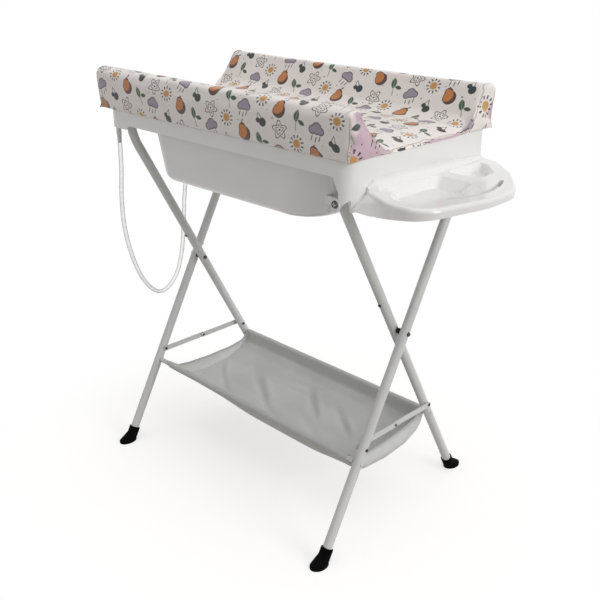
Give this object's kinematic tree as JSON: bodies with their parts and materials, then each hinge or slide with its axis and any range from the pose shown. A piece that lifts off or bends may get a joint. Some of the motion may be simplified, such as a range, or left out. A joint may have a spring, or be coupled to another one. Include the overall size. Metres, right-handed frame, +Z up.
{
  "type": "baby bathtub with stand",
  "caption": "Folding baby bath: moulded tub with side tray and drain hose on a crossed tube stand, with a padded changing mat on top and a cloth storage basket below.",
  "frame": {"origin": "on the floor under the middle of the whole object, measured without the hose", "axes": "+X along the tub towards the organizer tray, -Y to the front, +Z up"},
  "size_m": [1.0184, 0.5868, 1.0093],
  "materials": {
    "frame": "satin grey powder coat",
    "tub": "glossy white moulding",
    "tray": "glossy white moulding",
    "steel": "zinc plated",
    "black_plastic": "matt black moulding",
    "foot": "matt black rubber",
    "clip": "white moulding",
    "seal": "grey rubber",
    "hose": "clear hose",
    "cover": "wipe-clean printed cover",
    "board": "fibreboard",
    "basket": "thin woven cloth"
  },
  "bodies": {
    "outer_frame": {"front_rail": "frame", "front_rail_screws": "steel", "outer_brace_rivets": "steel", "outer_brace_washers": "black_plastic", "outer_top_caps": "black_plastic", "outer_leg_lower_left": "frame", "outer_leg_upper_left": "frame", "front_foot_left": "foot", "outer_leg_lower_right": "frame", "outer_leg_upper_right": "frame", "front_foot_right": "foot", "basket_cloth": "basket"},
    "inner_frame": {"back_rail": "frame", "back_rail_screws": "steel", "inner_brace_rivets": "steel", "inner_brace_washers": "black_plastic", "inner_top_caps": "black_plastic", "inner_leg_lower_left": "frame", "inner_leg_upper_left": "frame", "back_foot_left": "foot", "inner_leg_lower_right": "frame", "inner_leg_upper_right": "frame", "back_foot_right": "foot"},
    "crossing": {"crossing_rivets": "steel", "crossing_spacers": "black_plastic"},
    "tub": {"tub_shell": "tub", "organizer_tray": "tray", "tray_screws": "steel", "leg_clip": "clip", "leg_clip_screw": "steel", "drain_spigot": "clip", "drain_seal": "seal", "drain_nut": "clip", "drain_plug": "clip", "drain_hose": "hose", "hose_nozzle": "clip"},
    "mat": {"mat_board": "board", "mat_pad": "cover"},
    "outer_brace_left": {"outer_brace_left": "frame"},
    "outer_button_left": {"outer_snap_button_left": "black_plastic"},
    "inner_brace_left": {"inner_brace_left": "frame"},
    "inner_button_left": {"inner_snap_button_left": "black_plastic"},
    "outer_brace_right": {"outer_brace_right": "frame"},
    "outer_button_right": {"outer_snap_button_right": "black_plastic"},
    "inner_brace_right": {"inner_brace_right": "frame"},
    "inner_button_right": {"inner_snap_button_right": "black_plastic"}
  },
  "joints": [
    {"name": "stand_fold", "type": "hinge", "parent": "outer_frame", "child": "inner_frame", "pos_m": [-0.0905, 0, 0.4835], "axis": [-1, 0, 0], "range_deg": [0, 48], "deforming": ["basket_cloth"]},
    {"name": "crossing_turn", "type": "hinge", "parent": "outer_frame", "child": "crossing", "pos_m": [-0.0905, 0, 0.4835], "axis": [-1, 0, 0], "range_deg": [0, 24]},
    {"name": "tub_lift", "type": "slide", "parent": "crossing", "child": "tub", "axis": [0, 0, 1], "range_m": [0, 0.0973]},
    {"name": "mat_lift_off", "type": "slide", "parent": "tub", "child": "mat", "axis": [0, 0, 1], "range_m": [0, 0.12]},
    {"name": "outer_brace_left_turn", "type": "hinge", "parent": "outer_frame", "child": "outer_brace_left", "pos_m": [-0.4445, -0.13032, 0.24248], "axis": [1, 0, 0], "range_deg": [0, 57.2]},
    {"name": "outer_button_left_press", "type": "slide", "parent": "outer_frame", "child": "outer_button_left", "axis": [0, -0.8796, 0.4756], "range_m": [0, 0.003], "stiffness_N_per_m": 1500, "springref_m": -0.002},
    {"name": "inner_brace_left_turn", "type": "hinge", "parent": "inner_frame", "child": "inner_brace_left", "pos_m": [-0.4445, 0.13032, 0.24248], "axis": [-1, 0, 0], "range_deg": [0, 57.2]},
    {"name": "inner_button_left_press", "type": "slide", "parent": "inner_frame", "child": "inner_button_left", "axis": [0, 0.8796, 0.4756], "range_m": [0, 0.003], "stiffness_N_per_m": 1500, "springref_m": -0.002},
    {"name": "outer_brace_right_turn", "type": "hinge", "parent": "outer_frame", "child": "outer_brace_right", "pos_m": [0.2635, -0.13032, 0.24248], "axis": [1, 0, 0], "range_deg": [0, 57.2]},
    {"name": "outer_button_right_press", "type": "slide", "parent": "outer_frame", "child": "outer_button_right", "axis": [0, -0.8796, 0.4756], "range_m": [0, 0.003], "stiffness_N_per_m": 1500, "springref_m": -0.002},
    {"name": "inner_brace_right_turn", "type": "hinge", "parent": "inner_frame", "child": "inner_brace_right", "pos_m": [0.2635, 0.13032, 0.24248], "axis": [-1, 0, 0], "range_deg": [0, 57.2]},
    {"name": "inner_button_right_press", "type": "slide", "parent": "inner_frame", "child": "inner_button_right", "axis": [0, 0.8796, 0.4756], "range_m": [0, 0.003], "stiffness_N_per_m": 1500, "springref_m": -0.002}
  ],
  "couplings": [
    {"joint": "crossing_turn", "follows": "stand_fold", "ratio": 0.5},
    {"joint": "tub_lift", "follows": "stand_fold", "m_per_rad": 0.115},
    {"joint": "outer_brace_left_turn", "follows": "stand_fold", "ratio": 1.1816},
    {"joint": "inner_brace_left_turn", "follows": "stand_fold", "ratio": 1.1816},
    {"joint": "outer_brace_right_turn", "follows": "stand_fold", "ratio": 1.1816},
    {"joint": "inner_brace_right_turn", "follows": "stand_fold", "ratio": 1.1816}
  ]
}
